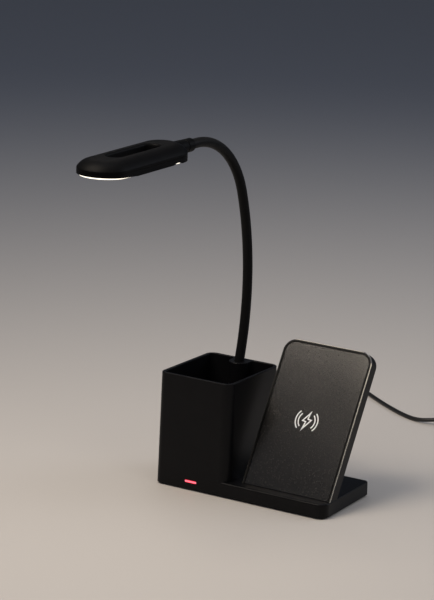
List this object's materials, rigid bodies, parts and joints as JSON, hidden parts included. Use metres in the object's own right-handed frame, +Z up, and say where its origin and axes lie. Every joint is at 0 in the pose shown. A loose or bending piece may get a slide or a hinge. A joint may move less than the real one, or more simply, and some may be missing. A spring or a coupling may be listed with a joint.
{
  "type": "desk lamp",
  "caption": "Black desk lamp with a gooseneck rising from a square pen cup, a slotted oval light head, and a tilted wireless phone charging panel on one flat base.",
  "frame": {"origin": "middle of the anti-slip mat's underside, on the table under the centre of the base", "axes": "+Z up; +X to the right along the base's front edge; +Y to the back, so the front faces -Y"},
  "size_m": [0.2436, 0.4935, 0.2869],
  "materials": {
    "black_plastic": "satin moulded",
    "cover_plastic": "fine texture",
    "mat_rubber": "matte",
    "steel": "plain zinc",
    "bright_steel": "plated",
    "circuit_board": "solder mask",
    "red_window": "clear tinted, lit",
    "led_epoxy": "phosphor",
    "copper": "bare copper",
    "lead_insulation": "smooth",
    "panel_plastic": "gloss with a bright bevel",
    "panel_face_plastic": "fine grained",
    "ferrite": "matte",
    "diffuser_plastic": "milky, lit",
    "board_aluminium": "white coated",
    "plug_plastic": "moulded",
    "cord_jacket": "smooth jacket",
    "tie_nylon": "moulded",
    "silicone": "satin"
  },
  "bodies": {
    "base": {"body_shell": "black_plastic", "bottom_cover": "cover_plastic", "antislip_mat": "mat_rubber", "cover_screws": "steel", "ballast_plate": "steel", "main_board": "circuit_board", "board_screws": "steel", "power_socket": "bright_steel", "indicator_window": "red_window", "indicator_led": "led_epoxy", "touch_sensor": "copper", "neck_ferrule": "steel", "neck_nut": "steel", "lamp_lead": "lead_insulation", "panel_case": "panel_plastic", "panel_face": "panel_face_plastic", "charge_coil": "copper", "ferrite_sheet": "ferrite", "charger_board": "circuit_board", "panel_screws": "steel", "charger_lead": "lead_insulation", "cord_plug": "plug_plastic", "cord_plug_tongue": "bright_steel", "power_cord": "cord_jacket", "cord_coil": "cord_jacket", "cord_tie": "tie_nylon", "far_plug": "plug_plastic", "far_plug_shell": "bright_steel", "far_plug_tongue": "plug_plastic"},
    "neck_lower": {"neck_sleeve_lower": "silicone", "neck_core_lower": "steel"},
    "neck_middle": {"neck_sleeve_middle": "silicone", "neck_core_middle": "steel"},
    "neck_upper": {"neck_sleeve_upper": "silicone", "neck_core_upper": "steel"},
    "head": {"head_top_shell": "black_plastic", "head_collar": "black_plastic", "head_ferrule": "steel", "head_set_screw": "steel", "head_lead": "lead_insulation", "head_lower_frame": "black_plastic", "diffuser": "diffuser_plastic", "led_board": "board_aluminium", "led_chips": "led_epoxy", "head_screws": "steel"}
  },
  "joints": [
    {"name": "neck_turn", "type": "hinge", "parent": "base", "child": "neck_lower", "pos_m": [-0.04395, 0.0285, 0.0833], "axis": [0, 0, 1], "range_deg": [-45, 45]},
    {"name": "neck_lower_bend", "type": "hinge", "parent": "neck_lower", "child": "neck_middle", "pos_m": [-0.04395, 0.03465, 0.12272], "axis": [1, 0, 0], "range_deg": [-20, 25]},
    {"name": "neck_upper_bend", "type": "hinge", "parent": "neck_middle", "child": "neck_upper", "pos_m": [-0.04395, 0.01963, 0.23741], "axis": [1, 0, 0], "range_deg": [-25, 30]},
    {"name": "head_tilt", "type": "hinge", "parent": "neck_upper", "child": "head", "pos_m": [-0.04395, -0.05411, 0.27881], "axis": [1, 0, 0], "range_deg": [-30, 30]}
  ]
}
